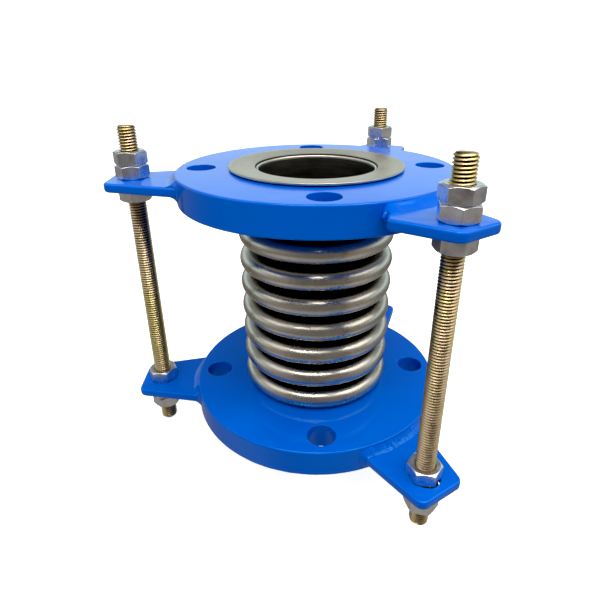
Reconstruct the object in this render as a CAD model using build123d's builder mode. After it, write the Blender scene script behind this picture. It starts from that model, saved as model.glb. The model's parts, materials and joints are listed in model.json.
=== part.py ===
"""Tied bellows expansion joint: loose lap flanges, steel bellows, three tie rods.

Units are millimetres. The origin is the centre of the lower sealing face,
+Z runs up the pipe axis to the upper sealing face.
"""
from build123d import *
from collections import namedtuple
from math import cos, degrees, radians, sin
import os

os.makedirs("parts", exist_ok=True)

# ---- overall -------------------------------------------------------------
FACE_TO_FACE = 175.0        # lower sealing face to upper sealing face
LUG_ANGLES = (60.0, 180.0, 300.0)
HOLE_ANGLES = (0.0, 90.0, 180.0, 270.0)

# ---- loose lap flanges ---------------------------------------------------
FLANGE_OD = 175.0
FLANGE_T = 18.0
FLANGE_BORE_R = 41.0
FLANGE_EDGE = 0.9           # broken outer edges
FLANGE_INNER_R = 2.55       # rounding of the bore where the bellows flares
FLANGE_FACE_BEVEL = 1.4     # bevel of the bore on the sealing side
BOLT_PCD = 145.0
BOLT_HOLE_D = 18.0
BOLT_HOLE_BEVEL = 0.5

# ---- stub ends that carry the sealing faces -------------------------------
RING_R = 55.0
RING_T = 1.4
RING_GAP = 0.8              # air between the lap ring and the loose flange
FACE_SET = RING_T + RING_GAP
STUB_BORE_R = 38.4
PILOT_R = 40.95             # the loose flange turns on this shoulder
PILOT_L = 9.0
NECK_R = 39.4
NECK_L = 18.0
RING_EDGE = 0.45

# ---- bellows -------------------------------------------------------------
CREST_COUNT = 7
CREST_PITCH = 17.4
CREST_R = 51.5              # outside radius of the bellows
CREST_TUBE_R = 6.2          # outside radius of one crest in section
WALL = 1.0                  # all plies together
ROOT_R = NECK_R + WALL      # outside radius at the roots
FIRST_CREST_Z = 26.8
CUFF_START_Z = 9.6
CUFF_END_Z = FACE_TO_FACE - CUFF_START_Z

# ---- flow liner ----------------------------------------------------------
LINER_BORE_R = 36.9
LINER_R = 38.0
LINER_TOP_Z = FACE_TO_FACE - 0.8
LINER_COLLAR_Z = FACE_TO_FACE - 16.0
LINER_END_Z = 26.0
LINER_LIP = 0.7

# ---- tie rods, lugs and nuts ----------------------------------------------
ROD_CIRCLE_R = 115.5
ROD_D = 11.4                # commercial M12 rod, rolled under size
ROD_BOTTOM_Z = -22.0
ROD_TOP_Z = 199.0
ROD_CHAMFER = 1.1
THREAD_FIT = 0.05           # radial gap left between nut bore and rod
LUG_T = 5.8
LUG_BLANK_START = 79.5      # the blank begins here and is cut back to the rim
LUG_CORNER_R = 5.5
LUG_EDGE = 0.8
LUG_HOLE_D = 16.5
NUT_AF = 18.0
NUT_H = 8.5
NUT_BORE_R = ROD_D / 2 + THREAD_FIT
NUT_CORNER_R = NUT_AF / 2 / cos(radians(30))
NUT_FACE_R = 8.73           # flat end face left inside the bevel
NUT_BEVEL_H = 1.3

# ---- fillet welds round the lug roots -------------------------------------
WELD_LEG = 5.2
WELD_SIDE = 4.5             # how far the bead runs past the side of the lug
WELD_TOE = 0.8

# Lugs are cut and welded by hand. depth: flange face to the lug's outer side;
# reach: pipe axis to the tip; tip: half width at the tip; cw, ccw: half width gained for
# each millimetre towards the rim on either side; swing: degrees round the axis; drift: how
# far outside the rod's centre the hole is drilled; crop: half width left on the clockwise
# side at the rim where the root corner is cut off at 45 degrees
Ear = namedtuple("Ear", "depth reach tip cw ccw swing drift crop", defaults=(0.0, 0.2, None))
EARS = {
    "lower": (
        Ear(6.7, 131.5, 16.0, 0.20, 0.20, swing=-1.6),
        Ear(6.7, 130.0, 16.0, 0.20, 0.20),
        Ear(6.7, 130.8, 15.9, 0.11, 0.24, drift=1.8),
    ),
    "upper": (
        Ear(5.1, 131.5, 16.0, 0.20, 0.20, swing=-0.7),
        Ear(5.7, 130.2, 14.2, 0.20, 0.33, swing=0.6),
        Ear(4.1, 128.7, 14.0, 0.43, 0.08, swing=1.3, crop=18.6),
    ),
}

CUT_L = 60.0                # cutters reach this far, past any plate
MATCH = 0.01                # tolerance when an edge is picked by its radius

LOWER_FLANGE_Z = FACE_SET
UPPER_FLANGE_Z = FACE_TO_FACE - FACE_SET - FLANGE_T
FLANGE_R = FLANGE_OD / 2


def around(radius, angle, z=0.0):
    """Plane on a circle about the pipe axis, X pointing outwards."""
    a = radians(angle)
    origin = (radius * cos(a), radius * sin(a), z)
    return Plane(origin=origin, x_dir=(cos(a), sin(a), 0), z_dir=(0, 0, 1))


def save(part, label):
    part.label = label
    export_step(part, f"parts/{label}.step")


def make_flange(bottom_z, bellows_up):
    """Plate flange with four bolt holes; bellows_up is True on the lower one."""
    flip = 1 if bellows_up else -1
    face_z = bottom_z if bellows_up else bottom_z + FLANGE_T
    with BuildPart(Plane(origin=(0, 0, face_z), z_dir=(0, 0, flip))) as flange:
        Cylinder(FLANGE_R, FLANGE_T, align=(Align.CENTER, Align.CENTER, Align.MIN))
        rims = flange.edges().filter_by(GeomType.CIRCLE)
        chamfer(rims, FLANGE_EDGE)
        Cylinder(
            FLANGE_BORE_R,
            FLANGE_T,
            align=(Align.CENTER, Align.CENTER, Align.MIN),
            mode=Mode.SUBTRACT,
        )
        bore = flange.edges().filter_by(
            lambda e: e.geom_type == GeomType.CIRCLE and abs(e.radius - FLANGE_BORE_R) < MATCH
        )
        near_face = bore.sort_by(Axis.Z)[0 if bellows_up else -1]
        near_bellows = bore.sort_by(Axis.Z)[-1 if bellows_up else 0]
        chamfer(near_face, FLANGE_FACE_BEVEL)
        fillet(near_bellows, FLANGE_INNER_R)
        for angle in HOLE_ANGLES:
            with Locations(around(BOLT_PCD / 2, angle).location):
                Cylinder(BOLT_HOLE_D / 2, CUT_L, mode=Mode.SUBTRACT)
        holes = flange.edges().filter_by(
            lambda e: e.geom_type == GeomType.CIRCLE and abs(e.radius - BOLT_HOLE_D / 2) < MATCH
        )
        chamfer(holes, BOLT_HOLE_BEVEL)
    return flange.part


def lug_bottom(side, ear):
    if side == "lower":
        return LOWER_FLANGE_Z + ear.depth
    return UPPER_FLANGE_Z + FLANGE_T - ear.depth - LUG_T


def root_half(ear):
    """Half widths of a lug where it meets the flange rim, clockwise side first."""
    run = ear.reach - FLANGE_R
    return ear.crop or ear.tip + ear.cw * run, ear.tip + ear.ccw * run


def lug_outline(ear):
    """Corners of the blank, from the clockwise root round the tip."""
    run = ear.reach - LUG_BLANK_START
    root = [(LUG_BLANK_START, -ear.tip - ear.cw * run)]
    if ear.crop:
        cut = (ear.tip + ear.cw * ear.reach - ear.crop + FLANGE_R) / (1 + ear.cw)
        root = [(x, FLANGE_R - x - ear.crop) for x in (LUG_BLANK_START, cut)]
    tip = [(ear.reach, -ear.tip), (ear.reach, ear.tip)]
    return root + tip + [(LUG_BLANK_START, ear.tip + ear.ccw * run)]


def make_lug(ear, angle, z):
    """Flat ear with an oversize rod hole, cut to sit on the flange rim."""
    with BuildPart() as lug:
        with BuildSketch(around(0, angle + ear.swing, z)) as plan:
            with BuildLine():
                Polyline(*lug_outline(ear), close=True)
            make_face()
            tips = plan.vertices().sort_by(Axis.X)[-2:]
            fillet(tips, LUG_CORNER_R)
        extrude(amount=LUG_T)
        chamfer(lug.edges().filter_by(Plane.XY), LUG_EDGE)
        with Locations(around(ROD_CIRCLE_R + ear.drift, angle, z).location):
            Cylinder(LUG_HOLE_D / 2, CUT_L, mode=Mode.SUBTRACT)
        with Locations((0, 0, z)):
            Cylinder(FLANGE_R, CUT_L, mode=Mode.SUBTRACT)
    return lug.part


def make_weld(side, ear, angle, z, lug):
    """Fillet bead that wraps the lug root; it stops short of the flange's face."""
    face_leg = min(WELD_LEG, ear.depth - FLANGE_EDGE)
    low = z - (face_leg if side == "lower" else WELD_LEG)
    high = z + LUG_T + (face_leg if side == "upper" else WELD_LEG)
    out = FLANGE_R + WELD_LEG
    clockwise, counter = (degrees((half + WELD_SIDE) / FLANGE_R) for half in root_half(ear))
    middle = angle + ear.swing
    section = Plane.XZ.rotated((0, 0, middle - clockwise))
    with BuildPart() as weld:
        with BuildSketch(section):
            with BuildLine():
                Polyline(
                    (FLANGE_R, low),
                    (FLANGE_R + WELD_TOE, low),
                    (out, z),
                    (out, z + LUG_T),
                    (FLANGE_R + WELD_TOE, high),
                    (FLANGE_R, high),
                    close=True,
                )
            make_face()
        revolve(axis=Axis.Z, revolution_arc=clockwise + counter)
        with Locations(around(out, middle, z + LUG_T / 2).location):
            trim = (Align.MIN, Align.CENTER, Align.CENTER)
            Box(CUT_L, FLANGE_OD, CUT_L, align=trim, mode=Mode.SUBTRACT)
        add(lug, mode=Mode.SUBTRACT)
    return weld.part


def make_stub_end(upper):
    """Lap ring, pilot shoulder and neck turned as one ring."""
    flip = -1 if upper else 1
    start = FACE_TO_FACE if upper else 0.0
    with BuildPart() as stub:
        with BuildSketch(Plane.XZ) as section:
            with BuildLine():
                Polyline(
                    (STUB_BORE_R, start),
                    (RING_R, start),
                    (RING_R, start + flip * RING_T),
                    (PILOT_R, start + flip * RING_T),
                    (PILOT_R, start + flip * PILOT_L),
                    (NECK_R, start + flip * PILOT_L),
                    (NECK_R, start + flip * NECK_L),
                    (STUB_BORE_R, start + flip * NECK_L),
                    close=True,
                )
            make_face()
            rim = section.vertices().sort_by(Axis.X)[-2:]
            fillet(rim, RING_EDGE)
        revolve(axis=Axis.Z)
    return stub.part


def bellows_wall(inset):
    """One side of the bellows wall; inset is the distance in from the outside."""
    crest_r = CREST_TUBE_R - inset
    root_r = (CREST_PITCH - 2 * CREST_TUBE_R) / 2 + inset
    crest_x = CREST_R - CREST_TUBE_R
    root_x = ROOT_R - inset + root_r
    half = CREST_PITCH / 2
    with BuildLine(Plane.XZ) as wall:
        Line((ROOT_R - inset, CUFF_START_Z), (ROOT_R - inset, FIRST_CREST_Z - half))
        for i in range(CREST_COUNT):
            crest_z = FIRST_CREST_Z + i * CREST_PITCH
            low = crest_z - crest_r
            high = crest_z + crest_r
            quarter = root_r * cos(radians(45))
            ThreePointArc(
                (ROOT_R - inset, crest_z - half),
                (root_x - quarter, crest_z - half + quarter),
                (root_x, low),
            )
            Line((root_x, low), (crest_x, low))
            ThreePointArc((crest_x, low), (crest_x + crest_r, crest_z), (crest_x, high))
            Line((crest_x, high), (root_x, high))
            ThreePointArc(
                (root_x, high),
                (root_x - quarter, crest_z + half - quarter),
                (ROOT_R - inset, crest_z + half),
            )
        last = FIRST_CREST_Z + (CREST_COUNT - 1) * CREST_PITCH + half
        Line((ROOT_R - inset, last), (ROOT_R - inset, CUFF_END_Z))
    return wall.line


def make_bellows():
    outside = bellows_wall(0.0)
    inside = bellows_wall(WALL)
    with BuildPart() as bellows:
        with BuildSketch(Plane.XZ):
            with BuildLine(Plane.XZ):
                add(outside)
                add(inside)
                Line((ROOT_R, CUFF_START_Z), (NECK_R, CUFF_START_Z))
                Line((ROOT_R, CUFF_END_Z), (NECK_R, CUFF_END_Z))
            make_face()
        revolve(axis=Axis.Z)
    return bellows.part


def make_liner():
    """Flow sleeve hung in the upper stub end, free at the bottom."""
    with BuildPart() as liner:
        with BuildSketch(Plane.XZ) as section:
            with BuildLine():
                Polyline(
                    (LINER_BORE_R, LINER_END_Z),
                    (LINER_R, LINER_END_Z),
                    (LINER_R, LINER_COLLAR_Z),
                    (STUB_BORE_R, LINER_COLLAR_Z),
                    (STUB_BORE_R, LINER_TOP_Z),
                    (LINER_BORE_R, LINER_TOP_Z),
                    close=True,
                )
            make_face()
            lip = section.vertices().sort_by(Axis.Y)[-2:]
            fillet(lip, LINER_LIP)
        revolve(axis=Axis.Z)
    return liner.part


def make_rod(angle):
    length = ROD_TOP_Z - ROD_BOTTOM_Z
    with BuildPart() as rod:
        with Locations(around(ROD_CIRCLE_R, angle, ROD_BOTTOM_Z).location):
            Cylinder(ROD_D / 2, length, align=(Align.CENTER, Align.CENTER, Align.MIN))
        chamfer(rod.edges().filter_by(GeomType.CIRCLE), ROD_CHAMFER)
    return rod.part


def make_nut(angle, z, turn):
    """Hexagon nut, bevelled on both ends; turn sets its clocking in degrees."""
    seat = around(ROD_CIRCLE_R, angle, z)
    upright = Plane(origin=seat.origin, x_dir=(1, 0, 0), z_dir=(0, -1, 0))
    corner = NUT_CORNER_R + MATCH
    with BuildPart() as nut:
        with BuildSketch(seat):
            RegularPolygon(NUT_AF / 2, 6, major_radius=False, rotation=turn - angle)
        extrude(amount=NUT_H)
        with BuildSketch(upright):
            with BuildLine():
                Polyline(
                    (0, 0),
                    (NUT_FACE_R, 0),
                    (corner, NUT_BEVEL_H),
                    (corner, NUT_H - NUT_BEVEL_H),
                    (NUT_FACE_R, NUT_H),
                    (0, NUT_H),
                    close=True,
                )
            make_face()
        revolve(axis=Axis(seat.origin, (0, 0, 1)), mode=Mode.INTERSECT)
        with Locations(seat.location):
            Cylinder(NUT_BORE_R, CUT_L, mode=Mode.SUBTRACT)
    return nut.part


save(make_flange(LOWER_FLANGE_Z, True), "lower_flange")
save(make_flange(UPPER_FLANGE_Z, False), "upper_flange")
save(make_stub_end(False), "lower_stub_end")
save(make_stub_end(True), "upper_stub_end")
save(make_bellows(), "bellows")
save(make_liner(), "flow_liner")

# each row of nuts: the lug it sits on, height above that lug's underside,
# and the clocking of the three nuts in degrees
NUT_ROWS = {
    "upper_jam_nut": ("upper", LUG_T + NUT_H, (29.0, 3.0, 39.0)),
    "upper_nut": ("upper", LUG_T, (2.0, 12.0, 20.0)),
    "upper_stop_nut": ("upper", -NUT_H, (17.0, 31.0, 36.0)),
    "lower_stop_nut": ("lower", LUG_T, (28.0, 59.0, 49.0)),
    "lower_nut": ("lower", -NUT_H, (41.0, 12.0, 25.0)),
    "lower_jam_nut": ("lower", -2 * NUT_H, (6.0, 20.0, 42.0)),
}

for number, lug_angle in enumerate(LUG_ANGLES, start=1):
    save(make_rod(lug_angle), f"tie_rod_{number}")
    for side, ears in EARS.items():
        ear = ears[number - 1]
        lug_z = lug_bottom(side, ear)
        plate = make_lug(ear, lug_angle, lug_z)
        save(plate, f"{side}_lug_{number}")
        save(make_weld(side, ear, lug_angle, lug_z, plate), f"{side}_weld_{number}")
    for row, (side, rise, turns) in NUT_ROWS.items():
        nut_z = lug_bottom(side, EARS[side][number - 1]) + rise
        save(make_nut(lug_angle, nut_z, turns[number - 1]), f"{row}_{number}")
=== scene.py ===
from collections import namedtuple
import json
import math
import random

import bmesh
import bpy
from mathutils import Matrix, Vector, noise


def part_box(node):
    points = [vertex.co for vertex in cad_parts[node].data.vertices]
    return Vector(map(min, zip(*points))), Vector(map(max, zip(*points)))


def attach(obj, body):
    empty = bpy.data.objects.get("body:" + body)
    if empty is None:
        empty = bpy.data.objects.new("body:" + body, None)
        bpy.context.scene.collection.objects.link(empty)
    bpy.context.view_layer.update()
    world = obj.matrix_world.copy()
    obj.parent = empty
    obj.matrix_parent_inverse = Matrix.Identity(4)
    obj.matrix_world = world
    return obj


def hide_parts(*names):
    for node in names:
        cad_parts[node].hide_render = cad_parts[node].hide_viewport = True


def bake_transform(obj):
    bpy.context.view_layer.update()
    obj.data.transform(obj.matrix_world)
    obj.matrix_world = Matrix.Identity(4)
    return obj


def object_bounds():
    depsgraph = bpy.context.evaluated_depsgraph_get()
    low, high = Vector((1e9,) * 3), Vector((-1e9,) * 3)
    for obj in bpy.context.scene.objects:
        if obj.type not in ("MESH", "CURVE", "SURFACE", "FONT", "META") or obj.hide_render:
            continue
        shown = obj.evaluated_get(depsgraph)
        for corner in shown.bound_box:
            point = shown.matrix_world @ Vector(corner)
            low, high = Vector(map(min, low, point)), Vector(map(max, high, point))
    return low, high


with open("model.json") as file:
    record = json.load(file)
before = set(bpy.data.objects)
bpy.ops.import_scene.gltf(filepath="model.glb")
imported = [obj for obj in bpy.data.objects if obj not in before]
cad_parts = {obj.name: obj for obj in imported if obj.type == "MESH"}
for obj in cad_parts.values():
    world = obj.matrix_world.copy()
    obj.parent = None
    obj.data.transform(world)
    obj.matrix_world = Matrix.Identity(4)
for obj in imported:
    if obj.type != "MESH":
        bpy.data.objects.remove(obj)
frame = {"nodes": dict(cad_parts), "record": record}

MM = 0.001
CAD_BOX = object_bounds()
TURN = 2 * math.pi
EDGE_STEPS = 5              # facets across a rounded edge

BLACK = 0.008               # brightness that is shown as full black

view = bpy.context.scene.view_settings
view.view_transform = "Standard"
view.use_curve_mapping = True
view.curve_mapping.black_level = (BLACK, BLACK, BLACK)
view.curve_mapping.update()


# ---- mesh helpers ----------------------------------------------------------
def box_of(node):
    low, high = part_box(node)
    return Vector(low), Vector(high)


def centre_of(node):
    low, high = box_of(node)
    return (low + high) / 2


def wobble(x, y, z, scale, seed):
    """Smooth noise, about -1 to 1, at a point times a scale."""
    return noise.noise(Vector((x, y, z)) * scale + Vector((seed, seed * 1.7, -seed)))


def finish_mesh(bm, name, smooth_angle=None):
    """Object from a bmesh, smooth but for edges sharper than smooth_angle, in degrees."""
    bmesh.ops.recalc_face_normals(bm, faces=bm.faces)
    mesh = bpy.data.meshes.new(name)
    bm.to_mesh(mesh)
    bm.free()
    mesh.polygons.foreach_set("use_smooth", [True] * len(mesh.polygons))
    if smooth_angle is not None:
        mesh.set_sharp_from_angle(angle=math.radians(smooth_angle))
    piece = bpy.data.objects.new(name, mesh)
    bpy.context.scene.collection.objects.link(piece)
    return piece


def bridge(bm, a, b):
    """Faces between two closed rings of the same length."""
    for j in range(len(a)):
        k = (j + 1) % len(a)
        bm.faces.new((a[j], a[k], b[k], b[j]))


def skin(rows):
    """bmesh over closed rings of points; the last ring joins the first again."""
    bm = bmesh.new()
    grid = [[bm.verts.new(p) for p in row] for row in rows]
    for i, ring in enumerate(grid):
        bridge(bm, ring, grid[(i + 1) % len(grid)])
    return bm


def lathe(name, profile, segments, smooth_angle, shape=None):
    """Closed (radius, z) profile turned about Z; shape(r, z, angle) may move each point."""
    rows = []
    for i in range(segments):
        a = TURN * i / segments
        row = []
        for r, z in profile:
            if shape:
                r, z = shape(r, z, a)
            row.append((r * math.cos(a), r * math.sin(a), z))
        rows.append(row)
    return finish_mesh(skin(rows), name, smooth_angle)


def arc(cx, cz, radius, start, end, steps):
    """Points from one angle to another, both in degrees."""
    out = []
    for i in range(steps + 1):
        a = math.radians(start + (end - start) * i / steps)
        out.append((cx + radius * math.cos(a), cz + radius * math.sin(a)))
    return out


def rounded(points, radii, steps=4):
    """Closed polygon with its corners rounded; one radius for each point."""
    out = []
    count = len(points)
    for i in range(count):
        p = Vector(points[i])
        a = (Vector(points[i - 1]) - p).normalized()
        b = (Vector(points[(i + 1) % count]) - p).normalized()
        if radii[i] <= 0:
            out.append(tuple(p))
            continue
        half = a.angle(b) / 2
        reach = radii[i] / math.tan(half)
        centre = p + (a + b).normalized() * (radii[i] / math.sin(half))
        first, final = p + a * reach - centre, p + b * reach - centre
        for t in (k / steps for k in range(steps + 1)):
            out.append(tuple(centre + first.slerp(final, t).normalized() * radii[i]))
    return out


def soften(piece, bevel=0.0):
    """Narrow bevel on the hard edges, if one is asked for, then face-weighted normals."""
    if bevel:
        mod = piece.modifiers.new("edge", "BEVEL")
        mod.width = bevel
        mod.segments = 3
        mod.limit_method = "ANGLE"
        mod.angle_limit = math.radians(24)
    mod = piece.modifiers.new("normals", "WEIGHTED_NORMAL")
    mod.keep_sharp = False
    mod.weight = 90
    return piece


def circle(radius, count):
    angles = [TURN * i / count for i in range(count)]
    return [(radius * math.cos(a), radius * math.sin(a)) for a in angles]


def shrunk(outline, distance):
    """Closed outline moved inwards along its corner normals."""
    out = []
    count = len(outline)
    for i in range(count):
        back, here, ahead = (Vector(outline[(i + k) % count]) for k in (-1, 0, 1))
        a = (here - back).normalized()
        b = (ahead - here).normalized()
        normal = Vector((a.y + b.y, -a.x - b.x)).normalized()
        share = max(0.3, normal.dot(Vector((a.y, -a.x))))
        out.append(tuple(here - normal * (distance / share)))
    return out


def plate(name, outline, holes, low, high, edge, ragged):
    """Flat plate with rounded edges that are a little ragged, as a share of their radius
    from the origin; holes are (x, y, radius, low edge, high edge)."""
    bm = bmesh.new()
    loops = [(outline, edge, edge, 1)]
    for x, y, radius, low_edge, high_edge in holes:
        facets = 96 if radius > 20 * MM else 48
        ring = [(x + px, y + py) for px, py in circle(radius, facets)]
        loops.append((ring, low_edge, high_edge, -1))
    top_edges, bottom_edges = [], []
    for loop, low_edge, high_edge, side in loops:
        rings = []
        for radius, z, sign in ((low_edge, low, -1), (high_edge, high, 1)):
            steps = range(EDGE_STEPS + 1) if sign < 0 else range(EDGE_STEPS, -1, -1)
            for k in steps:
                a = TURN / 4 * k / EDGE_STEPS
                depth, drop = radius * (1 - math.sin(a)), radius * (1 - math.cos(a))
                ring = []
                for x, y in shrunk(loop, side * depth):
                    rough = ragged * max(0.0, 0.3 + wobble(x, y, z, 260, 4)) * math.sin(2 * a)
                    inwards, at_z = 1 - rough, z - sign * (drop + rough * 0.05)
                    ring.append(bm.verts.new((x * inwards, y * inwards, at_z)))
                rings.append(ring)
        for a, b in zip(rings, rings[1:]):
            bridge(bm, a, b)
        bm.edges.ensure_lookup_table()
        for ring, keep in ((rings[0], bottom_edges), (rings[-1], top_edges)):
            for j in range(len(ring)):
                keep.append(bm.edges.get((ring[j], ring[(j + 1) % len(ring)])))
    for edges in (bottom_edges, top_edges):
        bmesh.ops.triangle_fill(bm, use_beauty=True, use_dissolve=False, edges=edges)
    return soften(finish_mesh(bm, name))


# ---- materials -------------------------------------------------------------
class Finish:
    """One node material under construction; its textures follow object coordinates, in metres."""

    def __init__(self, name):
        self.material = bpy.data.materials.new(name)
        self.material.use_nodes = True
        self.tree = self.material.node_tree
        self.shader = self.tree.nodes["Principled BSDF"]
        self.place = self.tree.nodes.new("ShaderNodeTexCoord").outputs["Object"]

    def node(self, kind, inputs=None, **values):
        made = self.tree.nodes.new("ShaderNode" + kind)
        for key, value in values.items():
            setattr(made, key, value)
        for key, value in (inputs or {}).items():
            if isinstance(value, bpy.types.NodeSocket):
                self.tree.links.new(value, made.inputs[key])
            else:
                made.inputs[key].default_value = value
        return made

    def math(self, operation, a, b=0.0):
        return self.node("Math", {0: a, 1: b}, operation=operation).outputs[0]

    def multiply(self, colour, shade):
        inputs = {0: 1.0, 6: colour, 7: shade}
        return self.node("Mix", inputs, data_type="RGBA", blend_type="MULTIPLY").outputs[2]

    def weighted(self, *parts):
        """Sum of (value, weight) pairs."""
        total = None
        for value, weight in parts:
            share = self.math("MULTIPLY", value, weight)
            total = share if total is None else self.math("ADD", total, share)
        return total

    def noise(self, scale, detail=3.0, rough=0.55, at=None):
        inputs = {"Vector": at or self.place, "Scale": scale, "Detail": detail, "Roughness": rough}
        return self.node("TexNoise", inputs).outputs["Fac"]

    def ramp(self, value, stops):
        made = self.node("ValToRGB", {0: value})
        ramp = made.color_ramp
        while len(ramp.elements) < len(stops):
            ramp.elements.new(0.5)
        for element, (position, colour) in zip(ramp.elements, stops):
            element.position = position
            if not isinstance(colour, tuple):
                colour = (colour, colour, colour)
            element.color = (*colour, 1)
        return made.outputs["Color"]

    def span(self, value, low, high, start=0.0, end=1.0):
        inputs = {"Value": value, "From Min": start, "From Max": end, "To Min": low, "To Max": high}
        return self.node("MapRange", inputs).outputs["Result"]

    def bump(self, height, distance, strength=1.0, under=None):
        inputs = {"Height": height, "Distance": distance, "Strength": strength}
        if under:
            inputs["Normal"] = under
        return self.node("Bump", inputs).outputs["Normal"]

    def around(self, wrap, fine):
        """Coordinates that run round the pipe axis: streaks follow the lathe."""
        x, y, z = self.node("SeparateXYZ", {0: self.place}).outputs
        radius = self.math("SQRT", self.weighted((x, x), (y, y)))
        along = self.weighted((z, fine), (radius, fine * 0.83))
        u = self.math("MULTIPLY", self.math("DIVIDE", x, radius), wrap)
        v = self.math("MULTIPLY", self.math("DIVIDE", y, radius), wrap)
        return self.node("CombineXYZ", {0: u, 1: v, 2: along}).outputs[0], radius

    def set(self, **sockets):
        names = {"base": "Base Color", "metal": "Metallic", "rough": "Roughness", "normal": "Normal",
                 "ior": "IOR", "tint": "Specular Tint",
                 "glow": "Emission Color", "glow_strength": "Emission Strength"}
        for key, value in sockets.items():
            socket = self.shader.inputs[names[key]]
            if isinstance(value, bpy.types.NodeSocket):
                self.tree.links.new(value, socket)
            else:
                socket.default_value = value
        return self.material


def blue_enamel():
    """Sprayed gloss paint: slow waves and a fine orange peel."""
    f = Finish("blue_enamel")
    tint = f.ramp(f.noise(14, 2), [(0.3, (0.0, 0.092, 0.54)), (0.7, (0.0, 0.114, 0.61))])
    peel = f.noise(520, 2, 0.5)
    wave = f.noise(90, 2, 0.5)
    normal = f.bump(peel, 0.00003, 1.0, f.bump(wave, 0.00016, 0.7))
    return f.set(base=tint, rough=f.span(f.noise(60, 4), 0.10, 0.20), normal=normal,
                 ior=1.5, tint=(0.30, 0.90, 1.0, 1))


def bellows_stainless():
    """Formed sheet: satin crests with drawing marks, and painted shade that darkens the convolution
    roots and the cuffs nearly to black.
    """
    f = Finish("bellows_stainless")
    lines, radius = f.around(1.6, 900)
    streak = f.noise(1.0, 4, 0.6, at=lines)
    cloud = f.noise(45, 3)
    grain = f.noise(420, 3, 0.65)
    tone = f.weighted((streak, 0.4), (cloud, 0.35), (grain, 0.25))
    base = f.ramp(tone, [(0.3, (0.42, 0.385, 0.32)), (0.5, (0.60, 0.565, 0.49)),
                         (0.7, (0.72, 0.685, 0.61))])
    # painted shade: the base is darkened by radius, nearly black at the roots and cuffs (40.5 mm and in)
    # and full colour from 46.2 mm out
    root_shade_fade = f.span(radius, 0.0, 1.0, 40.5 * MM, 46.2 * MM)
    root = f.ramp(root_shade_fade, [(0.0, 0.03), (0.45, 0.20), (1.0, 1.0)])
    return f.set(base=f.multiply(base, root), metal=1.0, rough=f.span(tone, 0.20, 0.38, 0.3, 0.7),
                 normal=f.bump(grain, 0.00002, 0.7, f.bump(cloud, 0.0001, 0.3)))


def turned_stainless():
    """Lap ring with fine turning marks, and painted shade that darkens it just round the bore."""
    f = Finish("turned_stainless")
    lines, radius = f.around(0.7, 1900)
    groove = f.noise(1.0, 3, 0.65, at=lines)
    cloud = f.noise(60, 4)
    base = f.ramp(f.weighted((groove, 0.4), (cloud, 0.6)),
                  [(0.32, (0.50, 0.44, 0.35)), (0.5, (0.68, 0.61, 0.50)), (0.68, (0.80, 0.74, 0.62))])
    # painted shade: colour darkened on the ring's inner wall, inside a radius of about 38.4 to 39.2 mm
    shade = f.ramp(f.span(radius, 0.0, 1.0, 38.4 * MM, 39.2 * MM), [(0.2, 0.10), (0.6, 1.0)])
    return f.set(base=f.multiply(base, shade), metal=1.0, rough=f.span(cloud, 0.28, 0.44, 0.3, 0.7),
                 normal=f.bump(groove, 0.00003, 0.7))


def liner_stainless():
    """Dull sleeve with a very dark base as painted shade for the bore, and a painted highlight over the
    rounded lip at its top.
    """
    f = Finish("liner_stainless")
    lines, radius = f.around(2.0, 700)
    streak = f.noise(1.0, 4, 0.6, at=lines)
    tone = f.weighted((streak, 0.5), (f.noise(50, 3), 0.5))
    # painted shade: a very dark base, so the sleeve reads as the shade inside the bore
    base = f.ramp(tone, [(0.3, (0.08, 0.078, 0.074)), (0.7, (0.14, 0.137, 0.13))])
    # painted highlight colour for the lip; the mask below puts it on the lip's rounded top
    lip = f.ramp(tone, [(0.3, (0.78, 0.74, 0.65)), (0.7, (0.92, 0.88, 0.80))])
    height = f.node("SeparateXYZ", {0: f.place}).outputs[2]
    top_r, top = box_of("flow_liner")[1].xz
    # painted highlight: the bright lip colour is mixed in from 3.2 mm below the top upwards, away from
    # the outer edge
    lip_highlight = f.span(height, 0.0, 1.0, top - 3.2 * MM, top - 2.3 * MM)
    inside = f.span(radius, 1.0, 0.0, top_r - 0.75 * MM, top_r - 0.45 * MM)
    lip_highlight = f.math("MULTIPLY", lip_highlight, inside)
    base = f.node("Mix", {0: lip_highlight, 6: base, 7: lip}, data_type="RGBA").outputs[2]
    return f.set(base=base, metal=1.0, rough=f.span(streak, 0.32, 0.5),
                 normal=f.bump(streak, 0.00002, 0.5))


def yellow_zinc():
    """Chromated thread: bronze to olive crests, with painted shade darkening the thread roots."""
    f = Finish("yellow_zinc")
    hue = f.weighted((f.noise(150, 3, 0.6), 0.45), (f.noise(9, 2), 0.55))
    base = f.ramp(hue, [(0.30, (0.50, 0.45, 0.17)), (0.44, (0.66, 0.53, 0.23)),
                        (0.56, (0.74, 0.55, 0.36)), (0.70, (0.60, 0.52, 0.30))])
    # painted shade: colour darkened by how deep a point lies in the thread, nearly black in the roots
    depth = f.node("Attribute", attribute_name="thread_depth").outputs["Fac"]
    thread_root_shade = f.ramp(depth, [(0.0, 1.0), (0.5, 0.80), (0.95, 0.06)])
    grit = f.noise(1500, 2, 0.6)
    return f.set(base=f.multiply(base, thread_root_shade), metal=1.0,
                 rough=f.span(f.noise(300, 3), 0.26, 0.46, 0.3, 0.7),
                 normal=f.bump(grit, 0.00002, 0.6))


def white_zinc():
    """Bright plating on the nuts, clouded, with a fine grit."""
    f = Finish("white_zinc")
    cloud = f.noise(130, 4, 0.6)
    base = f.ramp(cloud, [(0.3, (0.60, 0.58, 0.57)), (0.5, (0.74, 0.73, 0.73)),
                          (0.7, (0.84, 0.84, 0.85))])
    grit = f.noise(900, 3, 0.6)
    return f.set(base=base, metal=1.0, rough=f.span(cloud, 0.20, 0.38, 0.3, 0.7),
                 normal=f.bump(grit, 0.00002, 0.6, f.bump(cloud, 0.0001, 0.4)))


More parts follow.
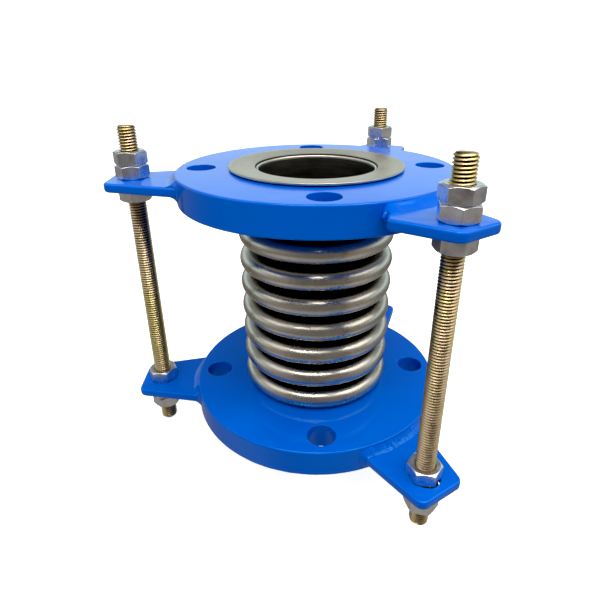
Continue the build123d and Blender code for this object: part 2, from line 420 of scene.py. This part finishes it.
FINISHES = {
    "blue_enamel": blue_enamel(),
    "turned_stainless": turned_stainless(),
    "bellows_stainless": bellows_stainless(),
    "liner_stainless": liner_stainless(),
    "yellow_zinc": yellow_zinc(),
    "white_zinc": white_zinc(),
}
BODY_OF = {n: b for b, members in frame["record"]["behaviour"]["bodies"].items() for n in members}
SLOT_OF = {s["node"]: s["material_slot"] for s in frame["record"]["subparts"]}

for node, item in frame["nodes"].items():
    item.data.materials.clear()
    item.data.materials.append(FINISHES[SLOT_OF[node]])


def stand_for(piece, node, ride=True):
    """Finish, body and slot of a piece all come from the CAD node it shows."""
    piece.data.materials.clear()
    piece.data.materials.append(FINISHES[SLOT_OF[node]])
    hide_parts(node)
    if ride:
        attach(piece, BODY_OF[node])
    return piece


# ---- camera ----------------------------------------------------------------
CAMERA_AT = (-0.0165, -0.2974, 0.2337)
CAMERA_LOOK = (0.0303, 0.9130, -0.4069)
CAMERA_ROLL = -0.235        # degrees
LENS = 28.11                # mm, on a sensor 36 mm wide
SHIFT = (-0.0105, -0.0504)


def aimed(place, look):
    """Matrix that puts a camera or a light at a place, looking along a direction."""
    return Matrix.Translation(place) @ look.to_track_quat("-Z", "Y").to_matrix().to_4x4()


def make_camera():
    data = bpy.data.cameras.new("camera")
    data.sensor_width = 36
    data.lens = LENS
    data.shift_x, data.shift_y = SHIFT
    data.clip_start, data.clip_end = 0.01, 50
    camera = bpy.data.objects.new("camera", data)
    bpy.context.scene.collection.objects.link(camera)
    roll = Matrix.Rotation(math.radians(CAMERA_ROLL), 4, "Z")
    camera.matrix_world = aimed(CAMERA_AT, Vector(CAMERA_LOOK).normalized()) @ roll
    bpy.context.scene.camera = camera


make_camera()


# ---- flanges ---------------------------------------------------------------
SIDES = ("lower", "upper")
FLANGE_EDGE = 1.1 * MM
HOLE_EDGE = 0.45 * MM
HOLE_PCD_R = 72.5 * MM
HOLE_R = 9.0 * MM
BORE_R = 41.0 * MM
BORE_FACE_EDGE, BORE_BACK_EDGE = 1.4 * MM, 2.5 * MM     # sealing side, bellows side


def rim_radius(side):
    low, high = box_of(f"{side}_flange")
    return (high.x - low.x) / 2


def flange(side):
    node = f"{side}_flange"
    low, high = box_of(node)
    bore_edges = (BORE_FACE_EDGE, BORE_BACK_EDGE)
    if side == "upper":
        bore_edges = bore_edges[::-1]
    holes = [(0, 0, BORE_R, *bore_edges)]
    for x, y in circle(HOLE_PCD_R, 4):
        holes.append((x, y, HOLE_R, HOLE_EDGE, HOLE_EDGE))
    rim = circle(rim_radius(side), 256)
    return stand_for(plate(f"{node}_plate", rim, holes, low.z, high.z, FLANGE_EDGE, 0.0009), node)


for side in SIDES:
    flange(side)

RIM_R = rim_radius("upper")


# ---- stub ends, liner ------------------------------------------------------
RING_DISH = 1.25 * MM       # how far the lap ring's face falls towards the bore


def stub_end(side):
    """Lap ring with its pilot and neck, drawn upwards from the sealing face at height 0."""
    low, high = box_of(f"{side}_stub_end")
    flip = 1 if side == "lower" else -1
    face = low.z if side == "lower" else high.z
    ring, bore, pilot, neck = high.x, 38.4 * MM, 40.95 * MM, 39.4 * MM
    thick, pilot_l, neck_l = 1.4 * MM, 9.0 * MM, high.z - low.z
    points = [
        (bore, 0), (ring, 0), (ring, thick), (pilot, thick),
        (pilot, pilot_l), (neck, pilot_l), (neck, neck_l), (bore, neck_l),
    ]
    soft = rounded(points, [0.35 * MM, 0.45 * MM, 0.45 * MM, 0.5 * MM, 0.3 * MM, 0, 0, 0])
    profile = []
    for i, (r, z) in enumerate(soft):
        profile.append((r, z))
        next_r, next_z = soft[(i + 1) % len(soft)]
        if abs(next_r - r) > 5 * MM:
            profile += [(r + (next_r - r) * k / 8, z + (next_z - z) * k / 8) for k in range(1, 8)]

    def shape(r, z, a):
        edge = max(0.0, (r - neck) / (ring - neck))
        r += edge * edge * wobble(math.cos(a), math.sin(a), 0, 5, 3) * 0.12 * MM
        outwards = min(max((r - bore) / (ring - bore), 0), 1)
        sag = (1 - outwards) ** 1.2 * RING_DISH if z < neck_l else 0.0
        return r, face + flip * (z + sag)

    return stand_for(lathe(f"{side}_lap_ring", profile, 192, 35, shape), f"{side}_stub_end")


for side in SIDES:
    stub_end(side)


def flow_liner():
    """Thin sleeve with a thicker collar at the top, and a groove under its rounded lip."""
    low, high = box_of("flow_liner")
    outer, body, bore = high.x, 38.0 * MM, 36.9 * MM
    collar, lip = high.z - 15.2 * MM, high.z - 1.2 * MM
    groove = outer - 0.45 * MM
    points = [
        (bore, low.z), (body, low.z), (body, collar), (outer, collar),
        (outer, lip - 2.2 * MM), (groove, lip - 1.6 * MM), (groove, lip), (bore, lip),
    ]
    profile = rounded(points, [0.3 * MM, 0.3 * MM, 0, 0, 0, 0, 0.15 * MM, 0.85 * MM], 7)
    return stand_for(lathe("flow_liner_sleeve", profile, 160, 40), "flow_liner")


flow_liner()


# ---- bellows ---------------------------------------------------------------
CREST_COUNT = 7
BELLOWS_WALL = 1.0 * MM


def bellows_side(depth, steps):
    """One side of the wall from the lower cuff to the upper cuff, depth below the outside."""
    pitch, tube, root, crest = 17.4 * MM, 6.2 * MM, 40.4 * MM, 51.5 * MM
    low, high = box_of("bellows")
    crest_r = tube - depth
    root_r = (pitch - 2 * tube) / 2 + depth
    root_x = root - depth + root_r
    crest_x = crest - tube
    first = 26.8 * MM
    out = [(root - depth, low.z), (root - depth, (low.z + first - pitch / 2) / 2)]
    for k in range(CREST_COUNT):
        z = first + k * pitch
        out += arc(root_x, z - pitch / 2, root_r, 180, 90, steps // 2)
        out += arc(crest_x, z, crest_r, -90, 90, steps)
        out += arc(root_x, z + pitch / 2, root_r, 270, 180, steps // 2)[:-1]
    last = first + (CREST_COUNT - 1) * pitch + pitch / 2
    out += [(root - depth, last), (root - depth, (last + high.z) / 2), (root - depth, high.z)]
    return out


def bellows():
    """Convolutions that are a little uneven, more so towards the crests."""
    profile = bellows_side(0.0, 16) + bellows_side(BELLOWS_WALL, 8)[::-1]

    def shape(r, z, a):
        lift = max(0.0, r - 44 * MM) / (7.5 * MM)
        r += lift * wobble(math.cos(a) * 1.2, math.sin(a) * 1.2, z * 60, 1.3, 5) * 0.22 * MM
        z += lift * wobble(math.cos(a) * 1.5, math.sin(a) * 1.5, z * 60, 1.1, 9) * 0.25 * MM
        return r, z

    piece = lathe("bellows_convolutions", profile, 160, None, shape)
    stand_for(piece, "bellows", ride=False)
    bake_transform(piece)
    return piece


bellows()


# ---- tie rods --------------------------------------------------------------
NUMBERS = (1, 2, 3)
PITCH = 1.75 * MM
THREAD_DEPTH = 1.02 * MM
THREAD_STEPS = 24           # facets in one turn
# one pitch of the rolled thread: share of the pitch, share of the depth
THREAD = ((0.0, 0.0), (0.10, 0.10), (0.38, 0.88), (0.5, 1.0), (0.62, 0.88), (0.90, 0.10))
ROD_END_DROP = 1.5 * MM     # how much thinner the rod is at its very end
ROD_END_SLOPE = 1.1


def tie_rod(number):
    """Rod with a rolled right-hand thread over its whole length."""
    node = f"tie_rod_{number}"
    low, high = box_of(node)
    centre = (low + high) / 2
    crest = (high.x - low.x) / 2
    steps = THREAD_STEPS
    turns = int((high.z - low.z) / PITCH) + 4
    base = low.z - 2 * PITCH
    bm = bmesh.new()
    grid = []
    deep = bm.verts.layers.float.new("thread_depth")
    for s in range(steps * turns + 1):
        a = TURN * s / steps + number * 2.1
        row = []
        for up, depth in THREAD:
            z = base + PITCH * (s / steps + up)
            worn = 1 + 0.10 * wobble(math.cos(a), math.sin(a), z * 400, 2, number)
            r = crest - THREAD_DEPTH * depth * worn
            r -= 0.05 * MM * max(0.0, wobble(math.cos(a), math.sin(a), z * 900, 3, number + 9))
            uneven = 0.35 * MM * wobble(math.cos(a), math.sin(a), 0, 1.0, number + 4)
            for inside in (high.z + uneven - z, z - low.z + uneven):
                r = min(r, crest - ROD_END_DROP + inside * ROD_END_SLOPE)
            vert = bm.verts.new((centre.x + r * math.cos(a), centre.y + r * math.sin(a), z))
            vert[deep] = depth
            row.append(vert)
        grid.append(row)
    for s in range(steps * turns):
        for m in range(len(THREAD) - 1):
            bm.faces.new((grid[s][m], grid[s + 1][m], grid[s + 1][m + 1], grid[s][m + 1]))
        if s + steps + 1 < len(grid):
            bm.faces.new((grid[s][-1], grid[s + 1][-1], grid[s + steps + 1][0], grid[s + steps][0]))
    for z, facing in ((low.z, -1), (high.z, 1)):
        geometry = bm.verts[:] + bm.edges[:] + bm.faces[:]
        tilt = Vector((0.03 * facing, 0.05, facing)).normalized()
        at = Vector((centre.x, centre.y, z - facing * 0.3 * MM))
        cut = bmesh.ops.bisect_plane(bm, geom=geometry, dist=1e-7, plane_co=at, plane_no=tilt,
                                     clear_outer=True)
        rim_edges = [g for g in cut["geom_cut"] if isinstance(g, bmesh.types.BMEdge)]
        bmesh.ops.edgeloop_fill(bm, edges=rim_edges)
    piece = finish_mesh(bm, f"threaded_rod_{number}", 50)
    return stand_for(piece, node)


for number in NUMBERS:
    tie_rod(number)


# ---- nuts ------------------------------------------------------------------
NUT_ROWS = (
    "upper_jam_nut", "upper_nut", "upper_stop_nut", "lower_stop_nut", "lower_nut", "lower_jam_nut",
)
NUT_FLAT = 9.0 * MM         # axis to a flat
NUT_FACE_R = 8.55 * MM      # flat end face left inside the bevel
NUT_BORE_R = 5.78 * MM
NUT_SINK_R, NUT_SINK_DEPTH = 6.35 * MM, 0.55 * MM
NUT_BEVEL = math.tan(math.radians(30))
FLAT_STEPS = 16             # facets across one flat


def nut(node):
    """Hexagon nut: conical bevels, countersunk bore, softly rounded corners."""
    low, high = box_of(node)
    centre = (low + high) / 2
    corner = max(frame["nodes"][node].data.vertices, key=lambda v: (v.co - centre).xy.length)
    clock = math.atan2(corner.co.y - centre.y, corner.co.x - centre.x)
    rings = [[] for _ in range(8)]
    for i in range(6 * FLAT_STEPS):
        a = (i % FLAT_STEPS - FLAT_STEPS / 2) / FLAT_STEPS * TURN / 6
        r = NUT_FLAT / math.cos(a)
        drop = (r - NUT_FACE_R) * NUT_BEVEL
        spin = clock + TURN / 12 + TURN * (i // FLAT_STEPS) / 6 + a
        where = (
            (NUT_BORE_R, high.z - NUT_SINK_DEPTH), (NUT_SINK_R, high.z), (NUT_FACE_R, high.z),
            (r, high.z - drop), (r, low.z + drop),
            (NUT_FACE_R, low.z), (NUT_SINK_R, low.z), (NUT_BORE_R, low.z + NUT_SINK_DEPTH),
        )
        for ring, (radius, z) in zip(rings, where):
            ring.append((centre.x + radius * math.cos(spin), centre.y + radius * math.sin(spin), z))
    piece = finish_mesh(skin(rings), node + "_hex")
    return stand_for(soften(piece, 0.22 * MM), node)


for row in NUT_ROWS:
    for number in NUMBERS:
        nut(f"{row}_{number}")


# ---- lugs and welds --------------------------------------------------------
LUG_EDGE = 1.5 * MM
LUG_CORNER = 5.5 * MM
LUG_HOLE_R = 8.25 * MM
LUG_HOLE_EDGE = 0.3 * MM
LUG_IN_RIM = 6.0 * MM       # how far the plate runs inside the flange
# as cut and welded by hand, millimetres and degrees: cw and ccw are the half width gained for
# each millimetre towards the rim, swing turns the lug round the pipe axis, drift moves its hole
# outwards, crop is the half width left where a root corner is cut off at 45 degrees
Ear = namedtuple("Ear", "reach tip cw ccw swing drift crop", defaults=(0.0, 0.2, None))
EARS = {
    "lower": (Ear(131.5, 16.0, 0.20, 0.20, swing=-1.6), Ear(130.0, 16.0, 0.20, 0.20),
              Ear(130.8, 15.9, 0.11, 0.24, drift=1.8)),
    "upper": (Ear(131.5, 16.0, 0.20, 0.20, swing=-0.7), Ear(130.2, 14.2, 0.20, 0.33, swing=0.6),
              Ear(128.7, 14.0, 0.43, 0.08, swing=1.3, crop=18.6)),
}


def lug_angle(number):
    """Direction of a rod from the pipe axis."""
    at = centre_of(f"tie_rod_{number}")
    return math.atan2(at.y, at.x)


def place_on_lug(piece, side, number):
    """Turns a mesh drawn along +X to where the lug points."""
    turn = lug_angle(number) + math.radians(EARS[side][number - 1].swing)
    piece.data.transform(Matrix.Rotation(turn, 4, "Z"))


def root_half(ear, radius):
    """Half widths of a lug at a radius near the rim, clockwise side first."""
    run = ear.reach - radius / MM
    clockwise = ear.crop or ear.tip + ear.cw * run
    return clockwise * MM, (ear.tip + ear.ccw * run) * MM


def lug(side, number):
    """Plate drawn pointing along +X, then turned to its rod."""
    node = f"{side}_lug_{number}"
    low, high = box_of(node)
    ear = EARS[side][number - 1]
    reach, tip, swing = ear.reach * MM, ear.tip * MM, math.radians(ear.swing)
    rim = RIM_R / MM
    inner = RIM_R - LUG_IN_RIM
    clockwise, counter = root_half(ear, inner)
    corners = [(inner, -clockwise)]
    if ear.crop:
        cut = (ear.tip + ear.cw * ear.reach - ear.crop + rim) / (1 + ear.cw)
        clockwise -= LUG_IN_RIM
        corners = [(inner, -clockwise), (cut * MM, (rim - cut - ear.crop) * MM)]
    corners += [(reach, -tip), (reach, tip), (inner, counter)]
    radii = [0] * len(corners)
    radii[-3] = radii[-2] = LUG_CORNER
    if ear.crop:
        radii[1] = 2.0 * MM
    outline = rounded(corners, radii, 10)
    end_r, end = math.hypot(inner, counter), math.atan2(counter, inner)
    start_r, start = math.hypot(inner, clockwise), -math.atan2(clockwise, inner)
    for k in range(1, 24):
        a, r = end + (start - end) * k / 24, end_r + (start_r - end_r) * k / 24
        outline.append((r * math.cos(a), r * math.sin(a)))
    arm = centre_of(f"tie_rod_{number}").xy.length + ear.drift * MM
    hole = (arm * math.cos(swing), -arm * math.sin(swing), LUG_HOLE_R, LUG_HOLE_EDGE, LUG_HOLE_EDGE)
    piece = plate(f"{node}_plate", outline, [hole], low.z, high.z, LUG_EDGE, 0.0006)
    place_on_lug(piece, side, number)
    return stand_for(piece, node)


# fillet on the outer side of the lug: its reach, ripple, lumps and set blobs, millimetres;
# a blob is (share of the way round, height)
Bead = namedtuple("Bead", "reach ripple lumps blobs")
PLAIN_BEAD = Bead(4.8, 0.05, 0.6, ())
BEADS = {
    "upper_weld_2": Bead(6.5, 0.06, 0.8, ()),
    "upper_weld_3": Bead(8.5, 0.03, 0.35, ((0.945, 3.5), (0.99, 1.0))),
    "lower_weld_3": Bead(5.0, 0.30, 1.6, ()),
}
OTHER_REACH = 4.6           # reach on the lug's other sides, millimetres
BEAD_CORNER = 1.2 * MM
BEAD_STEP = 0.45 * MM
BEAD_SECTIONS = 10
BEAD_HOLLOW = 1.55          # power that curves the bead's face inwards
BEAD_BURIED = 0.5 * MM      # how deep the bead's hidden edge lies
RIPPLE_LENGTH = 3.0 * MM
BLOB_COUNT = 7
SET_BLOB_WIDTH = 2.2 * MM
CROP_SETBACK = 2.0 * MM     # a cut root corner leaves the bead less edge to run along


def bead_path(y0, y1, z0):
    """Line round the lug's section, as points (y, z) each with its outward normal."""
    corner = BEAD_CORNER
    path = []

    def run(start, end, normal):
        length = (Vector(end) - Vector(start)).length
        count = max(2, int(length / BEAD_STEP))
        for k in range(count):
            p = Vector(start).lerp(Vector(end), k / count)
            path.append((p.x, p.y, *normal))

    def bend(cy, cz, start):
        for k in range(6):
            a = math.radians(start - 90 * k / 6)
            path.append((cy + corner * math.cos(a), cz + corner * math.sin(a), math.cos(a), math.sin(a)))

    run((y0, z0 + corner), (y1, z0 + corner), (0, 1))
    bend(y1, z0, 90)
    run((y1 + corner, z0), (y1 + corner, -z0), (1, 0))
    bend(y1, -z0, 0)
    run((y1, -z0 - corner), (y0, -z0 - corner), (0, -1))
    bend(y0, -z0, -90)
    run((y0 - corner, -z0), (y0 - corner, z0), (-1, 0))
    bend(y0, z0, 180)
    return path


def rim_at(y):
    """X of the flange rim at a given Y."""
    return math.sqrt(RIM_R * RIM_R - y * y)


def weld(side, number):
    """Fillet bead laid round the lug root, with ripples and uneven legs."""
    node = f"{side}_weld_{number}"
    low, high = box_of(f"{side}_lug_{number}")
    rim_low, rim_high = box_of(f"{side}_flange")
    seed = number * 3.1 + (7 if side == "upper" else 0)
    rng = random.Random(int(seed * 10))
    ear = EARS[side][number - 1]
    style = BEADS.get(node, PLAIN_BEAD)
    clockwise, counter = (half - 0.3 * MM for half in root_half(ear, RIM_R))
    if ear.crop:
        clockwise -= CROP_SETBACK
    outward = 1 if side == "upper" else -1
    mid = (high.z + low.z) / 2
    path = bead_path(BEAD_CORNER - clockwise, counter - BEAD_CORNER, (high.z - low.z) / 2 - BEAD_CORNER)
    blobs = [(rng.uniform(0, 1), rng.uniform(0.5, 1.1) * style.lumps * MM, rng.uniform(1.5, 3.0) * MM)
             for _ in range(BLOB_COUNT)]
    blobs += [(at, height * MM, SET_BLOB_WIDTH) for at, height in style.blobs]

    def blob_height(share):
        height = 0.0
        for at, top, width in blobs:
            away = abs(((share - at + 0.5) % 1) - 0.5) * len(path) * BEAD_STEP
            height += top * math.exp(-(away / width) ** 2)
        return height

    rows = []
    travelled = 0.0
    for i, (y, z, ny, nz) in enumerate(path):
        travelled += BEAD_STEP
        rough = 0.5 + 0.5 * wobble(y * 60, z * 60, 0, 1, seed)
        phase = travelled / RIPPLE_LENGTH * TURN
        ripple = math.sin(phase + 2 * wobble(y * 200, z * 200, 0, 1, seed))
        up_leg = (4.3 + 0.45 * wobble(y * 90, z * 90, 1, 1, seed)) * MM
        wide = style.reach if nz * outward > 0.5 else OTHER_REACH
        out_leg = (wide + 0.9 * wobble(y * 80, z * 80, 2, 1, seed)) * MM
        if abs(ny) > 0.5:
            up_leg *= 0.85
            out_leg *= 0.9
        swell = blob_height(i / len(path)) * 0.7 + style.ripple * MM * rough * ripple
        slope = ear.ccw if ny > 0 else (-1.0 if ear.crop else ear.cw)
        row = []
        for k in range(BEAD_SECTIONS + 1):
            p = k / BEAD_SECTIONS
            lift = math.sin(math.pi * p)
            push = lift * swell
            push += lift * style.lumps * 0.25 * MM * wobble(y * 300 + p, z * 300, p * 2, 1.2, seed + 3)
            a = up_leg * (1 - p) ** BEAD_HOLLOW + push * 0.7
            b = out_leg * p ** BEAD_HOLLOW + push * 0.7
            if k == 0:
                b = -0.3 * MM
            if k == BEAD_SECTIONS:
                a = -0.35 * MM
            side_y = y + ny * a - ny * slope * max(b, 0)
            at_z = min(max(mid + z + nz * a, rim_low.z + 1.0 * MM), rim_high.z - 1.0 * MM)
            row.append((rim_at(min(abs(side_y), RIM_R * 0.9)) + b, side_y, at_z))
        under = y - ny * BEAD_BURIED
        row.append((rim_at(under) - BEAD_BURIED, under, mid + z - nz * BEAD_BURIED))
        rows.append(row)
    piece = finish_mesh(skin(rows), f"{node}_bead")
    place_on_lug(piece, side, number)
    return stand_for(piece, node)


for side in SIDES:
    for number in NUMBERS:
        lug(side, number)
        weld(side, number)


# ---- floor, sky and lights -------------------------------------------------
def make_floor():
    """White sweep with a little glow of its own, so it fades into the background."""
    bm = bmesh.new()
    bmesh.ops.create_circle(bm, cap_ends=True, radius=8.0, segments=96)
    floor = finish_mesh(bm, "studio_floor")
    floor.location.z = CAD_BOX[0].z - 0.2 * MM
    f = Finish("studio_floor")
    tone = f.ramp(f.noise(3, 2), [(0.3, 0.80), (0.7, 0.82)])
    floor.data.materials.append(f.set(base=tone, rough=0.9, glow=(1, 1, 1, 1), glow_strength=0.8))
    floor.visible_glossy = False
    floor.visible_diffuse = False


# colour of the light tent by the height of a direction, from -1 below to 1 above
BACK_TENT = (
    (-1.0, (0.34, 0.33, 0.31)), (-0.3, (0.20, 0.19, 0.18)), (0.02, (0.34, 0.35, 0.37)),
    (0.09, (0.84, 1.03, 1.03)), (0.27, (0.84, 1.03, 1.03)), (0.40, (0.26, 0.28, 0.30)),
    (1.0, (0.12, 0.12, 0.12)),
)
FRONT_TENT = (
    (-1.0, (0.40, 0.38, 0.35)), (-0.62, (0.42, 0.40, 0.37)), (-0.40, (0.17, 0.155, 0.145)),
    (0.15, (0.20, 0.185, 0.18)), (0.50, (0.17, 0.165, 0.16)), (1.0, (0.12, 0.12, 0.12)),
)


def direction_ramp(tree, height, stops):
    """Colour by the height of a direction; heights run from -1 to 1."""
    made = tree.nodes.new("ShaderNodeValToRGB")
    tree.links.new(height, made.inputs[0])
    while len(made.color_ramp.elements) < len(stops):
        made.color_ramp.elements.new(0.5)
    for element, (position, colour) in zip(made.color_ramp.elements, stops):
        element.position = (position + 1) / 2
        element.color = (*colour, 1)
    return made.outputs["Color"]


def make_sky():
    """White to the camera, soft and nearly even to matt paint, and to anything glossy a tent
    that is bright behind and at both sides and dark in front."""
    world = bpy.data.worlds.new("studio")
    bpy.context.scene.world = world
    world.use_nodes = True
    tree = world.node_tree
    tree.nodes.clear()

    def add(kind, **inputs):
        made = tree.nodes.new("ShaderNode" + kind)
        for key, value in inputs.items():
            socket = made.inputs[key.replace("_", " ")]
            if isinstance(value, bpy.types.NodeSocket):
                tree.links.new(value, socket)
            else:
                socket.default_value = value
        return made

    x, y, z = add("SeparateXYZ", Vector=add("TexCoord").outputs["Generated"]).outputs
    height = add("MapRange", Value=z, From_Min=-1.0).outputs["Result"]
    back = direction_ramp(tree, height, BACK_TENT)
    front = direction_ramp(tree, height, FRONT_TENT)
    wing = tree.nodes.new("ShaderNodeMath")
    wing.operation = "ABSOLUTE"
    tree.links.new(x, wing.inputs[0])
    wings = add("MapRange", Value=wing.outputs[0], From_Min=0.35, From_Max=0.85,
                To_Min=0.9, To_Max=1.7)
    side = add("MapRange", Value=y, From_Min=-0.45, From_Max=0.35)
    side.interpolation_type = "SMOOTHSTEP"
    tent = tree.nodes.new("ShaderNodeMix")
    tent.data_type = "RGBA"
    for socket, value in ((0, side.outputs["Result"]), (6, front), (7, back)):
        tree.links.new(value, tent.inputs[socket])
    sideways = add("MapRange", Value=x, From_Min=-1.0, To_Min=0.85, To_Max=1.15)
    upward = add("MapRange", Value=z, From_Min=-0.5, From_Max=0.3, To_Min=0.40, To_Max=0.68)
    even = tree.nodes.new("ShaderNodeMath")
    even.operation = "MULTIPLY"
    for socket, source in enumerate((sideways, upward)):
        tree.links.new(source.outputs["Result"], even.inputs[socket])
    strength = tree.nodes.new("ShaderNodeMix")
    strength.data_type = "RGBA"
    for socket, value in ((0, side.outputs["Result"]), (6, wings.outputs["Result"])):
        tree.links.new(value, strength.inputs[socket])
    strength.inputs[7].default_value = (1, 1, 1, 1)
    rays = add("LightPath").outputs
    glossy = add("Background", Color=tent.outputs[2], Strength=strength.outputs[2]).outputs[0]
    matt = add("Background", Color=(1, 1, 1, 1), Strength=even.outputs[0]).outputs[0]
    white = add("Background", Color=(1, 1, 1, 1), Strength=1.05).outputs[0]
    lit = tree.nodes.new("ShaderNodeMixShader")
    seen = tree.nodes.new("ShaderNodeMixShader")
    for mix, pick, first, second in (
        (lit, rays["Is Glossy Ray"], matt, glossy),
        (seen, rays["Is Camera Ray"], lit.outputs[0], white),
    ):
        for socket, value in zip(mix.inputs, (pick, first, second)):
            tree.links.new(value, socket)
    out = tree.nodes.new("ShaderNodeOutputWorld")
    tree.links.new(seen.outputs[0], out.inputs["Surface"])


WARM = (1, 0.98, 0.95)


def soft_light(name, place, aim, size, power):
    data = bpy.data.lights.new(name, "AREA")
    data.shape = "RECTANGLE"
    data.size, data.size_y = size
    data.energy = power
    data.color = WARM
    light = bpy.data.objects.new(name, data)
    bpy.context.scene.collection.objects.link(light)
    light.matrix_world = aimed(place, Vector(aim) - Vector(place))


make_floor()
make_sky()
soft_light("overhead", (0.05, -0.30, 1.02), (0, 0, 0.1), (0.9, 0.62), 5.1)
soft_light("strip", (0.05, -0.40, 0.98), (0, 0, 0.08), (1.1, 0.05), 3.2)
soft_light("left", (-0.75, -0.15, 0.95), (0, 0, 0.08), (0.8, 0.8), 2.0)
soft_light("right", (0.75, -0.15, 0.95), (0, 0, 0.08), (0.8, 0.8), 3.5)
